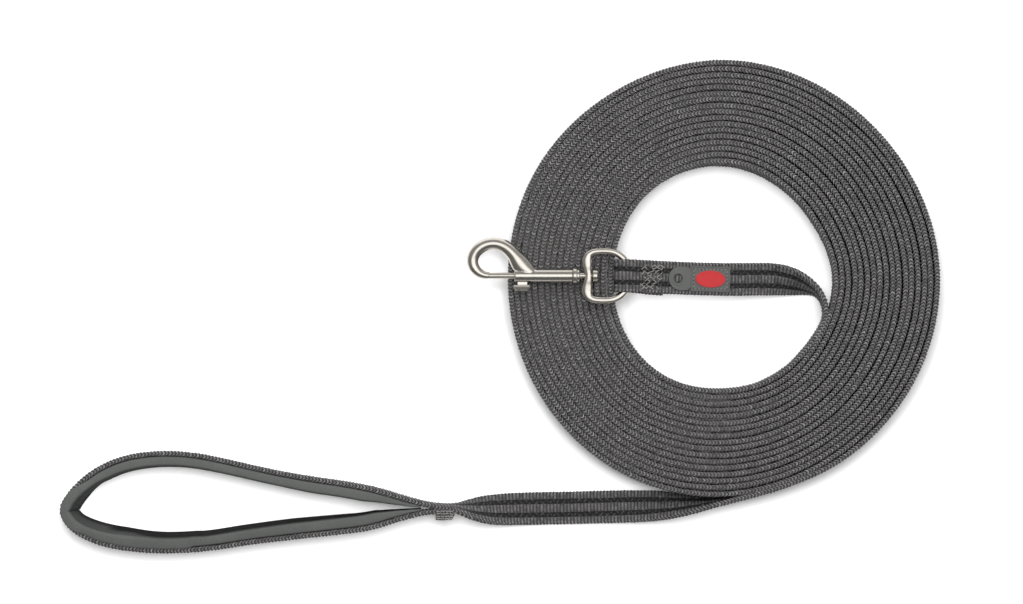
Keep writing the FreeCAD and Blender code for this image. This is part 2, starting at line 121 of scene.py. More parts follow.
# ---------------------------------------------------------------- route of the strap

# the folded end: under the lead, round the eye's bar and up onto it (x, y, z)
SNAP_FOLD_ROUTE = [
    (0.0826, 0.0139, 0.0181),
    (0.0772, 0.0142, 0.0192),
    (0.0715, 0.0149, 0.0197),
    (0.0667, 0.0154, 0.0187),
    (0.0625, 0.0157, 0.0182),
    (0.0588, 0.0157, 0.0185),
    (0.0581, 0.0157, 0.02155),
    (0.0588, 0.0157, 0.0246),
    (0.0625, 0.0157, 0.0249),
    (0.0667, 0.0156, 0.0245),
]

# from the coil's inner turn to the snap: x, y, z, and the twist in degrees (0 is on edge, 90 flat)
SNAP_LEAD_ROUTE = [
    (0.1405, -0.0351, 0.0085, 0),
    (0.1472, -0.0303, 0.0085, 0),
    (0.1527, -0.0245, 0.0085, 0),
    (0.1573, -0.0190, 0.0085, 0),
    (0.1617, -0.0128, 0.0085, 0),
    (0.1647, -0.0072, 0.0085, 0),
    (0.1653, -0.0014, 0.0085, 0),
    (0.1638, 0.0038, 0.0085, 3),
    (0.1607, 0.0079, 0.0085, 10),
    (0.1556, 0.0105, 0.0085, 28),
    (0.1498, 0.0123, 0.0086, 48),
    (0.1430, 0.0136, 0.0090, 67),
    (0.1355, 0.0141, 0.0096, 82),
    (0.1260, 0.0139, 0.0113, 89),
    (0.1130, 0.0138, 0.0143, 90),
    (0.0980, 0.0142, 0.0174, 90),
    (0.0820, 0.0148, 0.0208, 90),
    (0.0722, 0.0154, 0.0228, 90),
]

# from the neck of the hand loop to the coil's outer turn, given the same way
HANDLE_LEAD_ROUTE = [
    (-0.0243, -0.1018, 0.0085, 3),
    (-0.0190, -0.1025, 0.0086, 18),
    (-0.0126, -0.1031, 0.0078, 38),
    (-0.0050, -0.1032, 0.0058, 59),
    (0.0052, -0.1029, 0.0034, 76),
    (0.0179, -0.1026, 0.0017, 88),
    (0.0359, -0.1023, 0.0015, 90),
    (0.0538, -0.1018, 0.0018, 87),
    (0.0718, -0.1014, 0.0038, 73),
    (0.0861, -0.1010, 0.0064, 50),
    (0.0983, -0.1003, 0.0081, 28),
    (0.1096, -0.0989, 0.0086, 10),
    (0.1217, -0.0969, 0.00855, 2),
    (0.1341, -0.0939, 0.0085, 0),
    (0.1461, -0.0902, 0.0085, 0),
]

# round the hand loop: x, y, and how far the top edge stands outside the bottom edge
HAND_LOOP_ROUTE = [
    (-0.0354, -0.1008, 0.0),
    (-0.0485, -0.0974, 0.0),
    (-0.0620, -0.0930, 0.0),
    (-0.0784, -0.0897, 0.0002),
    (-0.0992, -0.0867, 0.0004),
    (-0.1194, -0.0828, 0.0006),
    (-0.1397, -0.0779, 0.0008),
    (-0.1565, -0.0746, 0.0010),
    (-0.1735, -0.0739, 0.0012),
    (-0.1905, -0.0762, 0.0013),
    (-0.2055, -0.0828, 0.0016),
    (-0.2165, -0.0925, 0.0018),
    (-0.2232, -0.1030, 0.0016),
    (-0.2173, -0.1129, 0.0020),
    (-0.2045, -0.1196, 0.0028),
    (-0.1885, -0.1230, 0.0032),
    (-0.1680, -0.1241, 0.0030),
    (-0.1462, -0.1226, 0.0028),
    (-0.1270, -0.1194, 0.0026),
    (-0.1058, -0.1169, 0.0024),
    (-0.0840, -0.1145, 0.0018),
    (-0.0660, -0.1124, 0.0010),
    (-0.0515, -0.1076, 0.0003),
    (-0.0405, -0.1046, 0.0),
    (-0.0335, -0.1037, 0.0),
]

# the strap's end at the neck of the hand loop, folded back on itself
NECK_FOLD_ROUTE = [
    (-0.0285, -0.1039),
    (-0.0249, -0.1038),
    (-0.0242, -0.1052),
    (-0.0249, -0.1066),
    (-0.0285, -0.1065),
    (-0.0329, -0.1066),
]


def across_lead(route):
    """Direction from the strap's bottom edge to its top edge at each point of a lead."""
    points = [Vector(p[:3]) for p in route]
    padded = [points[0] * 2 - points[1]] + points + [points[-1] * 2 - points[-2]]
    directions = []
    for i, step in enumerate(route):
        along = (padded[i + 2] - padded[i]).normalized()
        right = Vector((along.y, -along.x, 0)).normalized()
        twist = math.radians(step[3])
        directions.append(right * math.sin(twist) + right.cross(along) * math.cos(twist))
    return directions


def catmull(a, b, c, d, share):
    """Smooth value between b and c."""
    return b + share / 2 * (c - a + share * (2 * a - 5 * b + 4 * c - d + share * (3 * (b - c) + d - a)))


def periodic(values, degrees):
    """Smooth value at an angle, from values given at equal steps round a full turn."""
    step = 360 / len(values)
    i, share = divmod(degrees % 360 / step, 1)
    return catmull(*(values[(int(i) + k) % len(values)] for k in (-1, 0, 1, 2)), share)


def spiral_radii():
    """Radius of the strap's middle at the start, and the growth per turn, every 30 degrees."""
    starts = []
    growths = []
    half = STRAP_THICK / 2
    all_turns = COIL_TURNS + (COIL_END_DEG - COIL_START_DEG) / 360
    for i, (inner, outer) in enumerate(zip(COIL_INNER_RADII, COIL_OUTER_RADII)):
        angle = i * 360 / len(COIL_INNER_RADII)
        first = (angle - COIL_START_DEG) % 360 / 360
        last = all_turns - (COIL_END_DEG - angle) % 360 / 360
        growth = (outer * MM - inner * MM - 2 * half) / (last - first)
        starts.append(inner * MM + half - first * growth)
        growths.append(growth)
    return starts, growths


def bump(value, low, high):
    """Smooth hump, 0 at low and high and 1 half way."""
    share = (value - low) / (high - low)
    return math.sin(math.pi * share) ** 2 if 0 < share < 1 else 0.0


def coil_points():
    """Points down the middle of the coiled strap, clockwise and outwards, with their directions."""
    starts, growths = spiral_radii()
    polygon = math.cos(math.pi / POINTS_PER_TURN)
    points = []
    directions = []
    for i in range(COIL_TURNS * POINTS_PER_TURN):
        degrees = FIRST_COIL_POINT_DEG + i * 360 / POINTS_PER_TURN
        turns = (degrees - COIL_START_DEG) / 360
        wander = sum(size * math.sin(turns * rate + phase) for size, rate, phase in COIL_WANDER)
        gap = sum(size * bump(turns, low, high) for size, low, high in COIL_GAPS)
        for turn, give in enumerate(INNER_GIVE):
            gap -= give * bump(turns, turn + 0.25, turn + 0.50)
        lean = COIL_LEAN * bump(turns, 0.45, 0.85)
        radius = periodic(starts, degrees) + turns * periodic(growths, degrees)
        radius += (wander + gap) * MM - lean / 2
        lift = COIL_LIFT * (1 + math.sin(turns * 9.7))
        angle = -math.radians(degrees)
        outward = Vector((math.cos(angle), math.sin(angle), 0))
        points.append(COIL_CENTRE + outward * radius / polygon + UP * (STRAP_WIDTH / 2 + lift))
        directions.append((UP + outward * lean / STRAP_WIDTH).normalized())
    return points, directions


def hand_loop_points():
    """The hand loop's route, with the strap leaning outwards."""
    flat = [Vector((x, y, 0)) for x, y, _ in HAND_LOOP_ROUTE]
    padded = [flat[0] * 2 - flat[1]] + flat + [flat[-1] * 2 - flat[-2]]
    points = []
    directions = []
    for i, (here, step) in enumerate(zip(flat, HAND_LOOP_ROUTE)):
        along = (padded[i + 2] - padded[i]).normalized()
        outward = Vector((along.y, -along.x, 0))
        lean = step[2]
        points.append(here - outward * lean / 2 + UP * STRAP_WIDTH / 2)
        directions.append((UP + outward * lean / STRAP_WIDTH).normalized())
    return points, directions


def strap_route():
    """All of the strap's points and directions, and the numbers of the points where it is divided."""
    fold_turn = [Vector((0, 1, 0))] * len(SNAP_FOLD_ROUTE)
    lead_in = [Vector(p[:3]) for p in SNAP_LEAD_ROUTE][::-1]
    lead_out = [Vector(p[:3]) for p in HANDLE_LEAD_ROUTE][::-1]
    coil, coil_directions = coil_points()
    loop, loop_directions = hand_loop_points()
    neck = [Vector((x, y, STRAP_WIDTH / 2)) for x, y in NECK_FOLD_ROUTE]
    points = [Vector(p) for p in SNAP_FOLD_ROUTE] + lead_in + coil + lead_out + loop + neck
    directions = (fold_turn + across_lead(SNAP_LEAD_ROUTE)[::-1] + coil_directions
                  + across_lead(HANDLE_LEAD_ROUTE)[::-1] + loop_directions + [UP] * len(neck))
    first = len(SNAP_FOLD_ROUTE) + len(lead_in)
    cuts = [first + i * POINTS_PER_TURN for i in range(COIL_TURNS + 1)]
    cuts.append(first + len(coil) + len(lead_out))
    return points, directions, cuts


SPLINE_STEPS = 16         # points of the smooth line to each point of the route


def smooth_line(points):
    """Points read from the NURBS spline that has these control points."""
    curve = bpy.data.curves.new("strap_line", "CURVE")
    curve.dimensions = "3D"
    spline = curve.splines.new("NURBS")
    spline.points.add(len(points) - 1)
    for point, place in zip(spline.points, points):
        point.co = (*place, 1)
    spline.order_u = 3
    spline.use_endpoint_u = True
    spline.resolution_u = SPLINE_STEPS
    holder = bpy.data.objects.new("strap_line", curve)
    mesh = bpy.data.meshes.new_from_object(holder)
    line = np.zeros(len(mesh.vertices) * 3)
    mesh.vertices.foreach_get("co", line)
    bpy.data.meshes.remove(mesh)
    bpy.data.objects.remove(holder)
    bpy.data.curves.remove(curve)
    return line.reshape(-1, 3)


class Strap:
    """Evenly spaced stations along the strap: middle, across (to the top edge) and facing."""

    def __init__(self):
        points, directions, cuts = strap_route()
        cuts = [len(SNAP_FOLD_ROUTE)] + cuts
        half = STRAP_WIDTH / 2
        line = smooth_line(points)
        edge = smooth_line([p + d * half for p, d in zip(points, directions)])
        steps = np.linalg.norm(np.diff(line, axis=0), axis=1)
        at = np.concatenate([[0], np.cumsum(steps)])
        self.step = RIB_PITCH / STEPS_PER_RIB
        self.at = np.arange(0, at[-1], self.step)
        self.middle = np.stack([np.interp(self.at, at, line[:, k]) for k in range(3)], axis=1)
        edge = np.stack([np.interp(self.at, at, edge[:, k]) for k in range(3)], axis=1)
        along = np.gradient(self.middle, axis=0)
        along /= np.linalg.norm(along, axis=1)[:, None]
        across = edge - self.middle
        across -= (across * along).sum(1)[:, None] * along
        self.across = across / np.linalg.norm(across, axis=1)[:, None]
        self.along = along
        self.facing = np.cross(self.along, self.across)
        share = (len(line) - 1) / (len(points) - 2)
        places = [at[int(round((cut - 0.5) * share))] for cut in cuts]
        cuts = [int(round(place / self.step)) for place in places]
        self.fold_end, self.cuts = cuts[0], cuts[1:]

    def places(self, stations, across, facing):
        """Places at each station, by how far across and off the strap, and none under the floor."""
        sides = (self.middle, self.across, self.facing)
        middle, to_edge, off_face = (side[stations][:, None, :] for side in sides)
        points = middle + to_edge * across[..., None] + off_face * facing[..., None]
        points[..., 2] = np.maximum(points[..., 2], 0.0)
        return points

    def nearest(self, x, y, low, high):
        """Number of the station between low and high that is nearest to a place on the ground."""
        away = np.hypot(self.middle[low:high, 0] - x, self.middle[low:high, 1] - y)
        return low + int(away.argmin())


strap = Strap()


# ---------------------------------------------------------------- mesh helpers


def add_object(name, mesh, body, material):
    """A new piece that rides on a body."""
    piece = new_object(name, mesh)
    mesh.materials.append(material)
    if body:
        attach(piece, body)
    return piece


def mesh_from_arrays(name, points, quads, caps=()):
    """Smooth-shaded mesh from an array of points and an array of quads, with n-gon caps."""
    mesh = bpy.data.meshes.new(name)
    loops = np.concatenate([quads.ravel()] + [np.asarray(cap) for cap in caps])
    starts = list(range(0, quads.size, 4))
    for cap in caps:
        starts.append(starts[-1] + 4 if len(starts) == len(quads) else starts[-1] + len(caps[0]))
    mesh.vertices.add(len(points))
    mesh.vertices.foreach_set("co", points.astype(np.float32).ravel())
    mesh.loops.add(len(loops))
    mesh.loops.foreach_set("vertex_index", loops.astype(np.int32))
    mesh.polygons.add(len(starts))
    mesh.polygons.foreach_set("loop_start", np.array(starts, np.int32))
    mesh.polygons.foreach_set("use_smooth", np.ones(len(starts), bool))
    mesh.update(calc_edges=True)
    mesh.validate()
    return mesh


def tube_quads(rings, around):
    """Quads of a tube of rings, each with the same number of points."""
    i, j = np.meshgrid(np.arange(rings - 1), np.arange(around), indexing="ij")
    after = (j + 1) % around
    corners = [i * around + j, i * around + after, (i + 1) * around + after, (i + 1) * around + j]
    return np.stack(corners, axis=-1).reshape(-1, 4)


def float_attribute(mesh, name, values):
    attribute = mesh.attributes.new(name, "FLOAT", "POINT")
    attribute.data.foreach_set("value", np.asarray(values, np.float32).ravel())


# ---------------------------------------------------------------- webbing

# Section of the strap, counter-clockwise, in rows: place across the width and through the thickness,
# the way that it swells on a rib, how far along its rib is moved (in steps), the rib's height, and
# 1 where it is one of the rubber lines.

EDGE_RADIUS = 1.3 * MM
EDGE_HALF = 1.54 * MM     # the woven edge is a little thicker than the strap
GROOVE_DEPTH = 0.5 * MM
RIB_SHAPE = [0.0, 0.36, 0.80, 1.0, 0.80, 0.36]
LINE_MIDDLE = 3.35 * MM   # the two rubber lines along each face
LINE_HALF = 1.2 * MM
LINE_DEPTH = 0.65 * MM
THREAD_HALF = 0.24 * MM
THREAD_RISE = 0.42 * MM
UNEVEN_RIBS = 4096        # ribs before their unevenness repeats
RIB_UNEVEN = 0.18         # share of a rib's height
RAGGED_END = 0.13 * MM
FACE_EDGE = 7.3 * MM      # where a face ends and the woven edge begins


def edge_section(side):
    """Rounded edge: two columns of slanting stitches with a valley between them."""
    rows = []
    for degrees in (-80, -58, -36, -15, 0, 15, 36, 58, 80):
        angle = math.radians(degrees)
        across, facing = math.cos(angle), math.sin(angle) * side
        lean = abs(degrees) / 80
        valley = 0.22 * MM * (1 - min(1, lean * 4))
        u = side * (STRAP_WIDTH / 2 - EDGE_RADIUS * (1 - across ** 0.75) - valley)
        depth = GROOVE_DEPTH * (0.75 + 0.1 * lean)
        rows.append((u, facing * EDGE_HALF, side * across, facing, -round(5 * lean), depth, 0.0))
    return rows


def face_section(side, detailed):
    """One face of the strap, from its top edge to its bottom edge or back."""
    band = [6.9, 5.8, 4.75]
    line = [4.45, 4.1, 3.72, 3.35, 2.98, 2.6, 2.25]
    middle = [1.95, 0.7]
    places = band + line + middle if detailed else [6.6]
    rows = []
    for place in places + [-p for p in places[::-1]]:
        sunk = LINE_DEPTH if abs(abs(place) * MM - LINE_MIDDLE) < LINE_HALF else 0.0
        depth = 0.0 if sunk else GROOVE_DEPTH * 0.85
        face = side * (STRAP_THICK / 2 - sunk)
        rows.append((place * MM, face, 0.0, side, -5, depth, float(sunk > 0)))
    return rows if side > 0 else rows[::-1]


def strap_section(detailed):
    rows = edge_section(1) + face_section(1, detailed) + edge_section(-1) + face_section(-1, detailed)
    return [np.array(column) for column in zip(*rows)]


def webbing_mesh(name, first, last, detailed):
    """The ribbed strap between two stations, with closed ends."""
    u, v, swell_u, swell_v, shift, depth, line = strap_section(detailed)
    stations = np.arange(first, last + 1)
    around = len(u)
    moved = stations[:, None] + shift[None, :].astype(int)
    shape = np.array(RIB_SHAPE + [0.9 * r for r in RIB_SHAPE])
    rib = shape[moved % (2 * STEPS_PER_RIB)]
    # each rib stands a little differently from its neighbours
    uneven = np.random.default_rng(7).normal(0, 1, (UNEVEN_RIBS, around))
    stands = uneven[(moved // STEPS_PER_RIB) % UNEVEN_RIBS, np.arange(around)[None, :]]
    height = (rib * (1 + RIB_UNEVEN * stands) - 1) * depth
    # a thread zigzags over each rubber line, once in two ribs
    wave = np.abs((stations % (2 * STEPS_PER_RIB)) / STEPS_PER_RIB - 1) * 2 - 1
    away = np.abs(u)[None, :] - LINE_MIDDLE - wave[:, None] * 0.75 * LINE_HALF
    hidden = 0.62 + 0.38 * np.sin(stations * 0.83 + 2 * np.sin(stations * 0.171))[:, None]
    thread = np.exp(-(away / THREAD_HALF) ** 2) * line[None, :] * hidden
    height = height + thread * THREAD_RISE
    # the ribs end unevenly at the rubber lines
    ragged = (line == 0) & (np.abs(np.abs(u) - LINE_MIDDLE) < 1.5 * LINE_HALF)
    tube_u = u + swell_u * height + ragged * stands * RAGGED_END
    tube_v = v + swell_v * height
    points = strap.places(stations, tube_u, tube_v)
    caps = (np.arange(around)[::-1], (len(stations) - 1) * around + np.arange(around))
    mesh = mesh_from_arrays(name, points.reshape(-1, 3), tube_quads(len(stations), around), caps)
    float_attribute(mesh, "rubber", line[None, :] * (1 - np.clip(1.5 * thread - 0.35, 0, 0.9)))
    # painted shade in the grooves between the ribs, weaker on the faces than on the woven edges
    softer = 1 - 0.35 * (np.abs(u) < FACE_EDGE)
    float_attribute(mesh, "groove", np.clip(1 - rib, 0, 1) * softer * (depth[None, :] > 0))
    float_attribute(mesh, "shade", 0.5 + 0.2 * stands)
    float_attribute(mesh, "along", moved * strap.step / MM)
    float_attribute(mesh, "over", np.tile(u, len(stations)) / MM)
    return mesh


# ---------------------------------------------------------------- materials


class Nodes:
    """The node tree of a new material, or of the world, built with short calls."""

    def __init__(self, name, kind="materials", shader="Principled BSDF"):
        self.made = getattr(bpy.data, kind).new(name)
        self.made.use_nodes = True
        self.tree = self.made.node_tree
        self.shader = self.tree.nodes[shader]

    def add(self, kind, inputs=None, **settings):
        node = self.tree.nodes.new(kind)
        for key, value in settings.items():
            setattr(node, key, value)
        for key, value in (inputs or {}).items():
            self.put(node, key, value)
        return node

    def put(self, node, key, value):
        if isinstance(value, bpy.types.NodeSocket):
            self.tree.links.new(value, node.inputs[key])
        else:
            node.inputs[key].default_value = value

    def set(self, **inputs):
        for key, value in inputs.items():
            self.put(self.shader, key.replace("_", " "), value)

    def value_of(self, name):
        return self.add("ShaderNodeAttribute", attribute_name=name).outputs["Fac"]

    def place(self):
        return self.add("ShaderNodeTexCoord").outputs["Object"]

    def seen(self):
        return self.add("ShaderNodeLightPath").outputs["Is Camera Ray"]

    def noise(self, vector, scale, detail=3.0, rough=0.5):
        node = self.add("ShaderNodeTexNoise", {"Vector": vector, "Scale": scale, "Detail": detail,
                                               "Roughness": rough})
        return node.outputs["Fac"]

    def math(self, operation, a, b=0.0, c=0.0):
        node = self.add("ShaderNodeMath", operation=operation)
        for i, value in enumerate((a, b, c)):
            self.put(node, i, value)
        return node.outputs[0]

    def span(self, value, low, high, to_low, to_high, **settings):
        inputs = {"Value": value, "From Min": low, "From Max": high, "To Min": to_low, "To Max": to_high}
        return self.add("ShaderNodeMapRange", inputs, **settings).outputs[0]

    def mix(self, share, a, b, blend="MIX"):
        node = self.add("ShaderNodeMix", data_type="RGBA", blend_type=blend)
        self.put(node, 0, share)
        self.put(node, 6, a)
        self.put(node, 7, b)
        return node.outputs[2]

    def bump(self, height, strength, distance, normal=None):
        inputs = {"Height": height, "Strength": strength, "Distance": distance}
        if normal:
            inputs["Normal"] = normal
        return self.add("ShaderNodeBump", inputs).outputs[0]


STRANDS_IN_RIB = 3


def webbing_material():
    """Grey polyester ribs of three strands, with painted shade in the grooves, and black rubber under a
    thread.
    """
    n = Nodes("webbing")
    place = n.place()
    along, over = n.value_of("along"), n.value_of("over")
    stretch = n.add("ShaderNodeCombineXYZ", {"X": n.math("MULTIPLY", along, 2.0),
                                             "Y": n.math("MULTIPLY", over, 0.9)}).outputs[0]
    yarn = n.noise(stretch, 2.2, 2.0)
    grain = n.noise(place, 2600, 2.0)
    patches = n.noise(place, 45, 3.0)
    strands = 2 * math.pi * STRANDS_IN_RIB / (RIB_PITCH / MM)
    turn = n.math("MULTIPLY_ADD", along, strands, n.math("MULTIPLY", yarn, 3.5))
    strand = n.math("MULTIPLY_ADD", n.math("COSINE", turn), 0.5, 0.5)
    light = n.mix(patches, (0.200, 0.194, 0.197, 1), (0.250, 0.243, 0.247, 1))
    light = n.mix(n.span(yarn, 0.42, 0.68, 0.0, 0.9), light, (0.580, 0.568, 0.572, 1))
    light = n.mix(n.span(n.value_of("shade"), 0.1, 0.8, 0.75, 0.0), light, (0.045, 0.043, 0.044, 1))
    cloth = n.mix(n.span(strand, 0.1, 0.8, 0.5, 0.0), light, (0.035, 0.033, 0.034, 1))
    cloth = n.mix(n.span(grain, 0.40, 0.62, 0.0, 0.35), cloth, (0.035, 0.033, 0.033, 1))
    face = n.span(n.math("ABSOLUTE", over), 6.6, 7.6, 0.42, 0.0)
    cloth = n.mix(face, cloth, (0.020, 0.019, 0.020, 1))
    # painted shade: the grooves between the ribs are darkened in the colour
    painted_groove_shade = n.span(n.value_of("groove"), 0.05, 0.72, 0.0, 0.94)
    cloth = n.mix(painted_groove_shade, cloth, (0.014, 0.013, 0.013, 1))
    colour = n.mix(n.value_of("rubber"), cloth, (0.010, 0.010, 0.010, 1))
    n.set(Base_Color=colour, Roughness=n.span(grain, 0.3, 0.7, 0.55, 0.8), Specular_IOR_Level=0.3)
    n.set(Normal=n.bump(n.math("ADD", grain, n.math("MULTIPLY", strand, 0.6)), 0.6, 0.12 * MM))
    return n.made


def neoprene_material():
    """Fine knitted face over foam."""
    n = Nodes("neoprene")
    place = n.place()
    grain = n.noise(place, 2600, 3.0, 0.6)
    patches = n.noise(place, 60, 3.0)
    base = n.mix(patches, (0.092, 0.096, 0.093, 1), (0.125, 0.129, 0.125, 1))
    knit = n.mix(n.span(grain, 0.3, 0.7, 0.0, 0.5), base, (0.035, 0.037, 0.035, 1))
    # painted shade on the inner face of the hand loop, by the mask from the padding's mesh
    colour = n.mix(n.value_of("painted_inner_shade"), knit, (0.007, 0.007, 0.007, 1))
    n.set(Base_Color=colour, Roughness=0.9, Specular_IOR_Level=0.08)
    n.set(Normal=n.bump(grain, 0.45, 0.1 * MM))
    return n.made


def rubber_material(name, light, dark):
    """Matte moulded rubber with a faint grain."""
    n = Nodes(name)
    place = n.place()
    grain = n.noise(place, 1800, 3.0, 0.6)
    colour = n.mix(n.noise(place, 300, 4.0), (*dark, 1), (*light, 1))
    n.set(Base_Color=colour, Roughness=n.span(grain, 0.3, 0.7, 0.45, 0.62))
    n.set(Normal=n.bump(grain, 0.3, 0.05 * MM))
    return n.made


def thread_material(name, light, dark):
    """Twisted sewing thread."""
    n = Nodes(name)
    place = n.place()
    twist = n.noise(place, 4200, 2.0)
    colour = n.mix(n.span(twist, 0.35, 0.65, 0.0, 1.0), (*dark, 1), (*light, 1))
    n.set(Base_Color=colour, Roughness=0.5, Sheen_Weight=0.2, Normal=n.bump(twist, 0.6, 0.08 * MM))
    return n.made


def nickel_material():
    """Satin nickel: soft blurred reflections, with fine marks of tumbling."""
    n = Nodes("nickel")
    place = n.place()
    cloud = n.noise(place, 220, 4.0, 0.6)
    marks = n.noise(place, 2600, 3.0, 0.7)
    colour = n.mix(cloud, (0.58, 0.545, 0.49, 1), (0.67, 0.64, 0.585, 1))
    n.set(Base_Color=colour, Metallic=1.0, Roughness=n.span(marks, 0.3, 0.7, 0.17, 0.27))
    n.set(Normal=n.bump(marks, 0.12, 0.03 * MM))
    return n.made


def steel_material():
    """Drawn spring wire."""
    n = Nodes("spring_steel")
    marks = n.noise(n.place(), 3000, 2.0)
    n.set(Base_Color=n.mix(marks, (0.42, 0.42, 0.42, 1), (0.56, 0.56, 0.56, 1)), Metallic=1.0)
    n.set(Roughness=n.span(marks, 0.3, 0.7, 0.25, 0.4))
    return n.made


WEBBING = webbing_material()
NEOPRENE = neoprene_material()
LABEL_RUBBER = rubber_material("label_rubber", (0.086, 0.090, 0.086), (0.068, 0.071, 0.068))
INLAY = rubber_material("inlay", (0.430, 0.019, 0.021), (0.350, 0.014, 0.016))
THREAD = thread_material("thread", (0.400, 0.388, 0.370), (0.110, 0.106, 0.100))
LABEL_THREAD = thread_material("label_thread", (0.240, 0.245, 0.240), (0.130, 0.134, 0.130))
# dark thread under the bar tack, and painted shade in the label's needle holes
DARK_THREAD_AND_HOLE_SHADE = thread_material("dark_thread_and_hole_shade", (0.050, 0.050, 0.050), (0.018, 0.018, 0.018))
NICKEL = nickel_material()
SPRING_STEEL = steel_material()


# ---------------------------------------------------------------- strap pieces


def make_strap():
    start, end = 0, len(strap.at) - 1
    cuts = strap.cuts
    mesh = webbing_mesh("strap_snap_lead", start, cuts[0], True)
    lead = add_object("strap_snap_lead", mesh, None, WEBBING)
    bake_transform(lead)
    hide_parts("snap_lead", "snap_loop", "snap_strap_end")
    for i in range(COIL_TURNS):
        name = f"strap_turn_{i + 1:02d}"
        detailed = i in (0, COIL_TURNS - 2, COIL_TURNS - 1)
        mesh = webbing_mesh(name, cuts[i], cuts[i + 1], detailed)
        turn = add_object(name, mesh, "strap", WEBBING)
        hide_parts("coil_inner_turns" if i < INNER_TURNS else "coil_outer_turns")
    for name, first, last, nodes in (
        ("strap_handle_lead", cuts[COIL_TURNS], cuts[COIL_TURNS + 1], ["handle_lead"]),
        ("strap_hand_loop", cuts[COIL_TURNS + 1], end, ["hand_loop_strap", "handle_strap_end"]),
    ):
        piece = add_object(name, webbing_mesh(name, first, last, True), "strap", WEBBING)
        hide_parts(*nodes)


make_strap()


# ---------------------------------------------------------------- padding of the hand loop

PAD_HEIGHT = 16.9 * MM
PAD_FRONT = (-0.0390, -0.0960)      # its two ends, on the ground
PAD_BACK = (-0.0390, -0.1075)
PAD_POINTS = 40           # round its section
# thickness along each arm: place along X and thickness, in mm
PAD_UPPER_ARM = [(-222, 2.6), (-214, 3.6), (-200, 5.0), (-185, 5.2), (-160, 4.9), (-110, 5.2),
                 (-94, 5.8), (-68, 5.8), (-56, 3.8), (-47, 1.9), (-39, 0.7)]
PAD_LOWER_ARM = [(-222, 2.6), (-214, 3.6), (-200, 4.8), (-190, 5.6), (-153, 5.6), (-150, 5.2),
                 (-125, 5.6), (-106, 6.2), (-62, 6.0), (-50, 3.2), (-39, 0.7)]
LOOP_TURN = (-0.2229, -0.1030)
LAP_IN_BEND = 3.0 * MM    # how far the foam laps over the strap's edge
LAP_ON_ARM = 0.9 * MM
BEND_FLARE = 2.6 * MM


def ease(value, low, high):
    """0 below low, 1 above high, and smooth between."""
    share = np.clip((value - low) / (high - low), 0, 1)
    return share * share * (3 - 2 * share)


def padding_section():
    """Rounded oblong, counter-clockwise: place up the strap (-1 to 1) and away from it (0 to 1)."""
    angles = np.linspace(0, 2 * math.pi, PAD_POINTS, endpoint=False)
    up = np.sign(np.cos(angles)) * np.abs(np.cos(angles)) ** 0.3
    away = np.sign(np.sin(angles)) * np.abs(np.sin(angles)) ** 0.4
    return up, (1 - away) / 2


def make_padding():
    """Neoprene along the inner side of the hand loop, folded over the strap's edge at the far bend."""
    low, high = strap.cuts[-1], len(strap.at) - 1
    turn = strap.nearest(*LOOP_TURN, low, high)
    first = strap.nearest(*PAD_FRONT, low, turn)
    last = strap.nearest(*PAD_BACK, turn, high)
    up, away = padding_section()
    stations = np.arange(first, last + 1, 2)
    at = strap.at[stations]
    past = at - strap.at[turn]
    x = strap.middle[stations, 0] / MM
    upper, lower = (np.interp(x, *zip(*arm)) for arm in (PAD_UPPER_ARM, PAD_LOWER_ARM))
    thick = np.where(past < 0, upper, lower) * MM
    span = np.ones(7) / 7
    thick = np.convolve(np.pad(thick, 3, mode="edge"), span, "valid")
    thick += 0.10 * MM * np.sin(at / (23 * MM) + 1) + 0.06 * MM * np.sin(at / (9 * MM))
    bend = 1 - ease(past, 12 * MM, 60 * MM) - ease(-past, 4 * MM, 26 * MM)
    # a crease where the foam buckles in the bend
    thick += 0.5 * MM * np.exp(-(past / (6 * MM)) ** 2)
    thick -= 1.3 * MM * np.exp(-np.abs(past - 0.5 * MM) / (1.2 * MM))
    thick = thick[:, None]
    # it laps over the strap's top edge in the bend, and a little along the first of the lower arm
    first_stretch = ease(past, 4 * MM, 10 * MM) * (1 - ease(past, 70 * MM, 73 * MM))
    in_bend = 1 - ease(np.abs(past), 7 * MM, 22 * MM)
    lap = np.maximum(LAP_IN_BEND * in_bend, LAP_ON_ARM * first_stretch)[:, None]
    top = np.clip((up - 0.55) / 0.4, 0, 1)[None, :]
    against = (1 - away)[None, :]
    flare = BEND_FLARE * bend[:, None] * away[None, :] * (1 - up[None, :]) / 2
    v = -(STRAP_THICK / 2 + 0.12 * MM + away[None, :] * thick + flare)
    v = v + lap * top * against
    u = up[None, :] * PAD_HEIGHT / 2 + top * 0.75 * MM * np.clip(lap / (1.5 * MM), 0, 1)
    points = strap.places(stations, u, v)
    quads = tube_quads(len(stations), PAD_POINTS)[:, ::-1]
    ring = np.arange(PAD_POINTS)
    caps = (ring, ((len(stations) - 1) * PAD_POINTS + ring)[::-1])
    mesh = mesh_from_arrays("neoprene_padding", points.reshape(-1, 3), quads, caps)
    # painted shade on the inner face: dark from its foot nearly to the rim along the lower arm, about
    # half way up along the upper arm and only a little way up in the bend, and partly dark below the rim
    # all along
    top_of_painted_shade = -0.5 + 1.4 * ease(past, 4 * MM, 60 * MM) + 0.7 * ease(-past, 20 * MM, 60 * MM)
    inner = ease(away, 0.80, 0.97)[None, :]
    painted_inner_shade = inner * ease(top_of_painted_shade[:, None] - up[None, :], -0.25, 0.25)
    wall = inner * ease(-up, -0.94, -0.80)[None, :]
    float_attribute(mesh, "painted_inner_shade", np.maximum(painted_inner_shade, 0.4 * wall))
    pad = add_object("neoprene_padding", mesh, "strap", NEOPRENE)
    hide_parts("loop_padding")


make_padding()


# ---------------------------------------------------------------- sewing


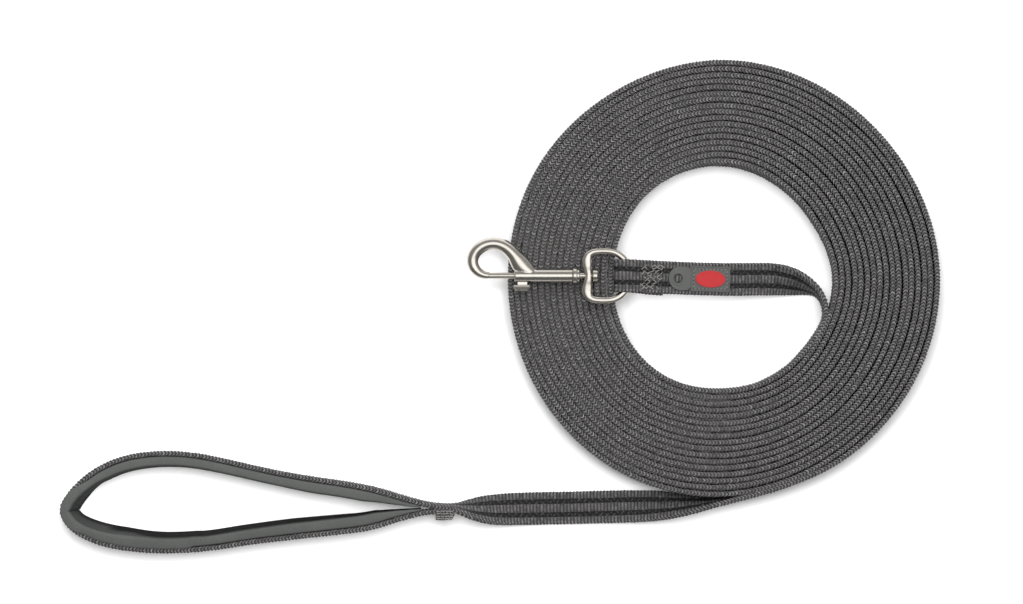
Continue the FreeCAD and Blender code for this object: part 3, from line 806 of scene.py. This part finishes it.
class Seam:
    """Short stitches, each an arc of thread that dips into the cloth at both ends."""

    ROUND = 6
    ALONG = 7

    def __init__(self, radius, rise, dip):
        self.radius, self.rise, self.dip = radius, rise, dip
        self.points = []
        self.quads = []
        self.caps = []

    def stitch(self, start, end, normal):
        start, end, normal = Vector(start), Vector(end), Vector(normal).normalized()
        side = (end - start).cross(normal).normalized()
        base = len(self.points)
        for i in range(self.ALONG):
            share = i / (self.ALONG - 1)
            height = self.rise * (1 - (2 * share - 1) ** 4) - self.dip * (2 * share - 1) ** 6
            middle = start.lerp(end, share) + normal * height
            for k in range(self.ROUND):
                angle = 2 * math.pi * k / self.ROUND
                round_thread = side * math.cos(angle) + normal * math.sin(angle)
                self.points.append(middle + round_thread * self.radius)
        for i in range(self.ALONG - 1):
            for k in range(self.ROUND):
                a, b = base + i * self.ROUND, base + (i + 1) * self.ROUND
                after = (k + 1) % self.ROUND
                self.quads.append((a + k, b + k, b + after, a + after))
        last = base + (self.ALONG - 1) * self.ROUND
        self.caps.append([base + k for k in range(self.ROUND)])
        self.caps.append([last + k for k in reversed(range(self.ROUND))])

    def finish(self, name, material):
        mesh = bpy.data.meshes.new(name)
        mesh.from_pydata(self.points, [], self.quads + self.caps)
        mesh.polygons.foreach_set("use_smooth", [True] * len(mesh.polygons))
        mesh.validate()
        return add_object(name, mesh, "strap", material)


def on_strap(station, up, away=0.0):
    """A place on the strap: so far across from its middle and so far off its facing side."""
    i = int(station)
    return Vector(strap.middle[i] + strap.across[i] * up + strap.facing[i] * away)


SNAP_TACK = (0.0766, 0.0152)
TACK_COLUMNS = (-4.9, -3.4, -1.7, 0.0, 1.7, 3.3, 4.9)    # along the strap, in mm
TACK_ROWS = 10
NECK_ROWS = (-0.1035, -0.1048, -0.1061, -0.1072)


def sew_snap_end():
    """Untidy zigzag bar tack through the lead and the folded end."""
    rng = np.random.default_rng(21)
    middle = strap.nearest(*SNAP_TACK, strap.fold_end, strap.cuts[0])
    seams = [Seam(0.21 * MM, 0.5 * MM, 0.5 * MM), Seam(0.17 * MM, 0.3 * MM, 0.4 * MM)]
    lift = STRAP_THICK / 2 - 0.1 * MM
    for k, column in enumerate(TACK_COLUMNS):
        for row in range(TACK_ROWS):
            side = 1 if (row + k) % 2 else -1
            ends = (column + side * 0.8 * np.array((1, -1)) + rng.normal(0, 0.38, 2)) * MM
            ups = (-6.3 + (row + np.array((0, 1))) * 1.25 + rng.normal(0, 0.3, 2)) * MM
            a, b = (on_strap(middle + round(end / strap.step), up, lift) for end, up in zip(ends, ups))
            seams[int(rng.random() < 0.4)].stitch(a, b, strap.facing[middle])
    tack = seams[0].finish("snap_end_sewing", THREAD)
    seams[1].finish("snap_end_under_thread", DARK_THREAD_AND_HOLE_SHADE)
    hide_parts("snap_bartack")


def sew_neck():
    """Rows of thread that hold the folded end at the neck of the hand loop."""
    seam = Seam(0.22 * MM, 0.35 * MM, 0.3 * MM)
    rng = np.random.default_rng(5)
    for row, y in enumerate(NECK_ROWS):
        for i in range(4):
            x = -0.0322 + i * 0.0022 + rng.normal(0, 0.0001)
            seam.stitch((x, y, STRAP_WIDTH), (x + 0.0019, y + rng.normal(0, 0.0001), STRAP_WIDTH), UP)
    for i in range(6):
        z = 0.0030 + i * 0.0022
        seam.stitch((-0.0318, -0.1077, z), (-0.0272, -0.1077, z + 0.0011), (0, -1, 0))
    rows = seam.finish("neck_sewing", THREAD)
    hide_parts("handle_bartack")


sew_snap_end()
sew_neck()


# ---------------------------------------------------------------- label

PATCH_HALF = (10.2 * MM, 6.4 * MM)
TAB_CENTRE_X = -15.6 * MM
TAB_RADIUS = 6.0 * MM
EYELET_X = -16.8 * MM
EYELET_RADIUS = 2.35 * MM
INLAY_HALF = (7.8 * MM, 4.3 * MM)
LABEL_MIDDLE = (0.1059, 0.0142)


def oval(half_x, half_y, centre_x=0.0, points=48):
    """Points of an ellipse, counter-clockwise."""
    turn = [2 * math.pi * i / points for i in range(points)]
    return [(centre_x + half_x * math.cos(t), half_y * math.sin(t)) for t in turn]


def rounded_oblong(half_x, half_y, radius, points=8):
    outline = []
    for corner, (sx, sy) in enumerate(((1, 1), (-1, 1), (-1, -1), (1, -1))):
        for i in range(points + 1):
            angle = math.pi / 2 * (corner + i / points)
            outline.append((sx * (half_x - radius) + radius * math.cos(angle),
                            sy * (half_y - radius) + radius * math.sin(angle)))
    return outline


def label_outline():
    """The patch with its eyelet tab on the left, and a small notch each side of the tab's root."""
    half_x, half_y = PATCH_HALF
    right = [p for p in rounded_oblong(half_x, half_y, 0.6 * MM) if p[0] > 0]
    top = [p for p in right if p[1] > 0]
    bottom = [p for p in right if p[1] < 0]
    side = [(-half_x, half_y), (-half_x, 4.9 * MM), (-half_x - 0.8 * MM, 4.9 * MM),
            (-half_x - 1.0 * MM, TAB_RADIUS)]
    arc = []
    for i in range(25):
        angle = math.pi / 2 + math.pi * i / 24
        arc.append((TAB_CENTRE_X + TAB_RADIUS * math.cos(angle), TAB_RADIUS * math.sin(angle)))
    return top + side + arc + [(x, -y) for x, y in reversed(side)] + bottom


def plate(outlines, base, thick, round_edge):
    """A flat plate with rounded edges, from an outline and its holes, standing on z = base."""
    curve = bpy.data.curves.new("plate", "CURVE")
    curve.dimensions = "2D"
    curve.fill_mode = "BOTH"
    curve.extrude = thick / 2 - round_edge
    curve.bevel_depth = round_edge
    curve.bevel_resolution = 3
    curve.offset = -round_edge
    for outline in outlines:
        spline = curve.splines.new("POLY")
        spline.points.add(len(outline) - 1)
        for point, (x, y) in zip(spline.points, outline):
            point.co = (x, y, 0, 1)
        spline.use_cyclic_u = True
    holder = bpy.data.objects.new("plate", curve)
    mesh = bpy.data.meshes.new_from_object(holder)
    bpy.data.objects.remove(holder)
    bpy.data.curves.remove(curve)
    mesh.transform(Matrix.Translation((0, 0, base + thick / 2)))
    work = bmesh.new()
    work.from_mesh(mesh)
    bmesh.ops.remove_doubles(work, verts=work.verts, dist=1e-6)
    bmesh.ops.recalc_face_normals(work, faces=work.faces)
    work.to_mesh(mesh)
    work.free()
    return mesh


def joined(name, meshes):
    work = bmesh.new()
    for mesh in meshes:
        work.from_mesh(mesh)
        bpy.data.meshes.remove(mesh)
    whole = bpy.data.meshes.new(name)
    work.to_mesh(whole)
    work.free()
    return whole


def label_frame():
    """Where the label lies: its middle, with X along the strap towards its tail and Z off the cloth."""
    station = strap.nearest(*LABEL_MIDDLE, strap.fold_end, strap.cuts[0])
    z = Vector(strap.facing[station])
    x = Vector(strap.along[station])
    if x.x < 0:
        x = -x
    y = z.cross(x)
    place = Vector(strap.middle[station]) + z * (STRAP_THICK / 2 - 0.15 * MM)
    frame_rows = Matrix((x, y, z)).transposed().to_4x4()
    return Matrix.Translation(place) @ frame_rows


def make_label():
    lie = label_frame()
    half_x, half_y = PATCH_HALF
    hole = oval(EYELET_RADIUS, EYELET_RADIUS, EYELET_X, 40)
    body = plate([label_outline(), hole], 0.0, 1.0 * MM, 0.25 * MM)
    rim_outlines = [rounded_oblong(half_x, half_y, 0.7 * MM),
                    rounded_oblong(half_x - 0.75 * MM, half_y - 0.75 * MM, 0.3 * MM)]
    rim = plate(rim_outlines, 0.7 * MM, 0.6 * MM, 0.2 * MM)
    collar = plate([oval(EYELET_RADIUS + 1.2 * MM, EYELET_RADIUS + 1.2 * MM, EYELET_X, 40), hole],
                   0.8 * MM, 0.4 * MM, 0.15 * MM)
    step = 0.55 * MM
    seat = plate([oval(INLAY_HALF[0] + step, INLAY_HALF[1] + step),
                  oval(INLAY_HALF[0] - step, INLAY_HALF[1] - step)], 0.8 * MM, 0.45 * MM, 0.15 * MM)
    mesh = joined("label_patch", [body, rim, collar, seat])
    mesh.transform(lie)
    patch = add_object("label_patch", mesh, "strap", LABEL_RUBBER)
    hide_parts("label")
    mesh = plate([oval(*INLAY_HALF)], 0.9 * MM, 0.65 * MM, 0.25 * MM)
    mesh.transform(lie)
    inlay = add_object("label_oval", mesh, "strap", INLAY)
    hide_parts("label_inlay")
    seam = Seam(0.24 * MM, 0.1 * MM, 0.3 * MM)
    # painted shade: short dark threads sunk between the stitches stand for the shade in the needle holes
    holes = Seam(0.3 * MM, 0.02 * MM, 0.3 * MM)
    inset = 1.6 * MM
    corners = [(half_x - inset, half_y - inset), (-half_x + inset, half_y - inset),
               (-half_x + inset, -half_y + inset), (half_x - inset, -half_y + inset)]
    off_cloth = lie.to_3x3() @ UP
    for a, b in zip(corners, corners[1:] + corners[:1]):
        a, b = Vector((*a, 1.0 * MM)), Vector((*b, 1.0 * MM))
        count = round((b - a).length / (1.9 * MM))
        for i in range(count):
            places = [lie @ a.lerp(b, (i + share) / count) for share in (0.22, 0.78, 1.22)]
            seam.stitch(places[0], places[1], off_cloth)
            holes.stitch(places[1], places[2], off_cloth)
    stitches = seam.finish("label_stitches", LABEL_THREAD)
    holes.finish("label_needle_hole_shade", DARK_THREAD_AND_HOLE_SHADE)
    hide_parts("label_stitching")


make_label()


# ---------------------------------------------------------------- metal

SNAP_AXIS = Vector((0, 15.7, 21.55)) * MM


def cast_copy(name, node, body, voxel, rounds):
    """A casting with soft edges and creases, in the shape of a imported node."""
    source = new_object(name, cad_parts[node].data.copy())
    cast_finish(name, source, node, body, voxel, rounds)


def cast_finish(name, source, node, body, voxel, rounds):
    """Remesh a closed shape finely, soften it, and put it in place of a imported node."""
    remesh = source.modifiers.new("remesh", "REMESH")
    remesh.mode = "VOXEL"
    remesh.voxel_size = voxel
    remesh.use_smooth_shade = True
    smooth = source.modifiers.new("soften", "SMOOTH")
    smooth.iterations = rounds
    smooth.factor = 0.5
    graph = bpy.context.evaluated_depsgraph_get()
    mesh = bpy.data.meshes.new_from_object(source.evaluated_get(graph))
    bpy.data.objects.remove(source)
    mesh.materials.clear()
    mesh.name = name
    mesh.polygons.foreach_set("use_smooth", [True] * len(mesh.polygons))
    piece = add_object(name, mesh, body, NICKEL)
    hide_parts(node)


# half of the eye's outline, from the bar at the swivel to the short bar in the strap: place from the
# swivel's axis, then half its width in the plane of the eye and half its depth
EYE_ROUTE = [
    (44.7, 0.0, 2.2, 2.7),
    (44.45, 2.2, 2.2, 2.6),
    (44.1, 4.5, 2.45, 2.3),
    (43.9, 6.6, 2.65, 2.1),
    (44.0, 8.5, 2.45, 1.95),
    (44.9, 10.6, 2.05, 1.9),
    (47.2, 12.0, 1.8, 1.85),
    (50.6, 12.4, 1.7, 1.8),
    (54.4, 12.4, 1.65, 1.75),
    (58.0, 11.7, 1.65, 1.7),
    (61.3, 9.7, 1.7, 1.7),
    (64.0, 6.4, 1.7, 1.7),
    (65.5, 2.8, 1.7, 1.7),
]
EYE_SMOOTH = 6            # rings to each point of the outline
EYE_AROUND = 20


def eye_rings():
    """Rings of the eye round its whole outline."""
    upper = [np.array(row) for row in EYE_ROUTE]
    lower = [row * np.array((1, -1, 1.1, 1)) for row in upper[1:]][::-1]
    rows = upper + lower
    count = len(rows)
    places = []
    for i in range(count):
        around = [rows[(i + k) % count] for k in (-1, 0, 1, 2)]
        places += [catmull(*around, j / EYE_SMOOTH) for j in range(EYE_SMOOTH)]
    return np.array(places)


def make_eye():
    """Cast eye: a waisted bar that the stud goes through, and a bow for the strap."""
    places = eye_rings() * MM
    total = len(places)
    along = np.roll(places[:, :2], -1, axis=0) - np.roll(places[:, :2], 1, axis=0)
    along /= np.linalg.norm(along, axis=1)[:, None]
    points = []
    for (x, y, wide, deep), (dx, dy) in zip(places, along):
        for k in range(EYE_AROUND):
            angle = 2 * math.pi * k / EYE_AROUND
            c, d = math.cos(angle), math.sin(angle)
            side = wide * math.copysign(abs(c) ** 0.85, c)
            high = deep * math.copysign(abs(d) ** 0.85, d)
            points.append((x + dy * side, y - dx * side, high))
    mesh = bpy.data.meshes.new("eye")
    i, j = np.meshgrid(np.arange(total), np.arange(EYE_AROUND), indexing="ij")
    after_i, after_j = (i + 1) % total, (j + 1) % EYE_AROUND
    quads = np.stack([i * EYE_AROUND + j, after_i * EYE_AROUND + j, after_i * EYE_AROUND + after_j,
                      i * EYE_AROUND + after_j], axis=-1).reshape(-1, 4)
    mesh.from_pydata(points, [], quads.tolist())
    source = new_object("eye", mesh)
    mesh.transform(Matrix.Translation(SNAP_AXIS))
    drill = bore_tool(0.0395, 0.0495, 1.72 * MM)
    cut = source.modifiers.new("bore", "BOOLEAN")
    cut.operation = "DIFFERENCE"
    cut.solver = "EXACT"
    cut.object = drill
    cast_finish("snap_eye", source, "swivel_eye", "eye", 0.26 * MM, 4)
    bpy.data.objects.remove(drill)


def bore_tool(start_x, end_x, radius):
    """A cylinder on the snap's axis."""
    work = bmesh.new()
    bmesh.ops.create_cone(work, cap_ends=True, segments=40, radius1=radius, radius2=radius,
                          depth=end_x - start_x)
    mesh = bpy.data.meshes.new("bore")
    work.to_mesh(mesh)
    work.free()
    mesh.transform(Matrix.Rotation(math.pi / 2, 4, "Y"))
    mesh.transform(Matrix.Translation(((start_x + end_x) / 2, SNAP_AXIS.y, SNAP_AXIS.z)))
    return new_object("bore", mesh)


def tapered_block(work, low, high, taper=1.0):
    """A block between two corners, with its -Y face drawn in."""
    low, high = SNAP_AXIS + Vector(low) * MM, SNAP_AXIS + Vector(high) * MM
    middle, size = (low + high) / 2, high - low
    made = bmesh.ops.create_cube(work, size=1)
    for vert in made["verts"]:
        share = taper if vert.co.y < 0 else 1.0
        x, y, z = (vert.co[k] * size[k] for k in range(3))
        vert.co = middle + Vector((x * share, y, z * share))


# corners of the thumb lug's head and neck from the snap's axis, in mm
LUG_HEAD = (6.2, -7.95, -2.7), (15.8, -4.9, 2.7)
LUG_NECK = (8.8, -5.4, -1.05), (13.8, -1.66, 1.05)
LUG_TAPER = 0.72
LUG_BEVEL = 0.55 * MM


def make_lug():
    """Thumb lug: a head with sloping ends on a neck that goes through the slot into the rod."""
    work = bmesh.new()
    tapered_block(work, *LUG_HEAD, LUG_TAPER)
    bmesh.ops.bevel(work, geom=work.edges[:], offset=LUG_BEVEL, segments=2, affect="EDGES")
    tapered_block(work, *LUG_NECK)
    mesh = bpy.data.meshes.new("lug")
    work.to_mesh(mesh)
    work.free()
    cast_finish("snap_lug", new_object("lug", mesh), "thumb_lug", "bolt", 0.14 * MM, 3)


def make_inner_spring():
    """Spring behind the bolt, copied from the imported one; on the real snap it closes up as the bolt
    slides back.
    """
    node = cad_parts["bolt_spring"]
    mesh = node.data.copy()
    mesh.materials.clear()
    spring = add_object("snap_inner_spring", mesh, "snap", SPRING_STEEL)
    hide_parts("bolt_spring")
    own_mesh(spring)


def make_metal():
    cast_copy("snap_casting", "snap_body", "snap", 0.22 * MM, 18)
    make_lug()
    cast_copy("snap_stud", "swivel_stud", "snap", 0.16 * MM, 5)
    make_eye()
    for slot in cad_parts["bolt_rod"].material_slots:
        slot.material = NICKEL
    make_inner_spring()


make_metal()


# ---------------------------------------------------------------- floor and light


def area_light(name, place, aim, size, power):
    """A softbox that lights the cloth but isn't mirrored in the metal."""
    data = bpy.data.lights.new(name, "AREA")
    data.shape = "RECTANGLE"
    data.size, data.size_y = size
    data.energy = power
    light = new_object(name, data)
    light.location = place
    light.rotation_euler = (Vector(aim) - Vector(place)).to_track_quat("-Z", "Y").to_euler()
    light.visible_glossy = False


def make_world():
    """Grey studio, lighter on the far side, with a long bright panel overhead."""
    n = Nodes("studio", "worlds", "Background")
    direction = n.add("ShaderNodeTexCoord").outputs["Generated"]
    split = n.add("ShaderNodeSeparateXYZ", {0: direction})

    def window(axis, *limits):
        return n.span(split.outputs[axis], *limits, interpolation_type="SMOOTHSTEP")

    studio = window("Y", -0.9, 0.9, 0.14, 0.34)
    panel = n.math("MULTIPLY", window("Y", -0.36, -0.22, 0.0, 1.0), window("Y", 0.22, 0.42, 1.0, 0.0))
    panel = n.math("MULTIPLY", panel, window("X", -0.40, -0.05, 0.0, 1.0))
    panel = n.math("MULTIPLY", panel, window("Z", 0.50, 0.70, 0.0, 1.5))
    far_glow = window("Y", 0.62, 0.88, 0.0, 0.95)
    far_glow = n.math("MULTIPLY", far_glow, window("Z", 0.20, 0.55, 1.0, 0.0))
    near_glow = window("Y", -0.95, -0.80, 0.45, 0.0)
    near_glow = n.math("MULTIPLY", near_glow, window("Z", 0.10, 0.40, 1.0, 0.0))
    glow = n.math("ADD", far_glow, near_glow)
    light = n.math("ADD", n.math("ADD", studio, glow), panel)
    n.set(Strength=n.math("MAXIMUM", light, n.seen()), Color=(1, 1, 1, 1))
    bpy.context.scene.world = n.made


NEAR_LIFT = 0.2           # keeps the shadows on the floor faint, but not between the coil's turns
FAR_LIFT = 0.4            # keeps the floor plain and pale where the lights don't reach
COIL_HOLE = (0.044, 0.051)          # from the coil's centre: the lift fades over these distances
COIL_RIM = (0.113, 0.120)
LIGHTS_END = (0.40, 1.2)


def make_stage():
    low, high = CAD_BOX
    middle = (low + high) / 2
    bpy.ops.mesh.primitive_plane_add(size=8, location=(middle.x, middle.y, 0))
    floor = bpy.context.object
    floor.name = "floor"
    n = Nodes("floor")
    n.set(Base_Color=(0.93, 0.93, 0.93, 1), Roughness=0.9, Emission_Color=(1, 1, 1, 1))
    to_coil = (COIL_CENTRE.x - middle.x, COIL_CENTRE.y - middle.y, 0)
    away = n.add("ShaderNodeVectorMath", {0: n.place(), 1: to_coil}, operation="DISTANCE")
    from_coil = away.outputs["Value"]
    in_hole = n.span(from_coil, *COIL_HOLE, NEAR_LIFT, 0.0)
    outside = n.span(from_coil, *COIL_RIM, 0.0, NEAR_LIFT)
    far_off = n.span(from_coil, *LIGHTS_END, 0.0, FAR_LIFT)
    lift = n.math("ADD", n.math("ADD", in_hole, outside), far_off)
    # painted light: the floor glows to the camera only, to fade the shadows cast on it
    n.set(Emission_Strength=n.math("MULTIPLY", n.seen(), lift))
    floor.data.materials.append(n.made)
    make_world()
    area_light("overhead", (0.0, 0.25, 1.6), (0.0, 0.0, 0), (0.8, 0.6), 20)
    area_light("far_side", (-0.2, 1.4, 1.2), (0.0, 0.0, 0), (1.0, 0.5), 13)
    bpy.context.scene.view_settings.view_transform = "Standard"


make_stage()
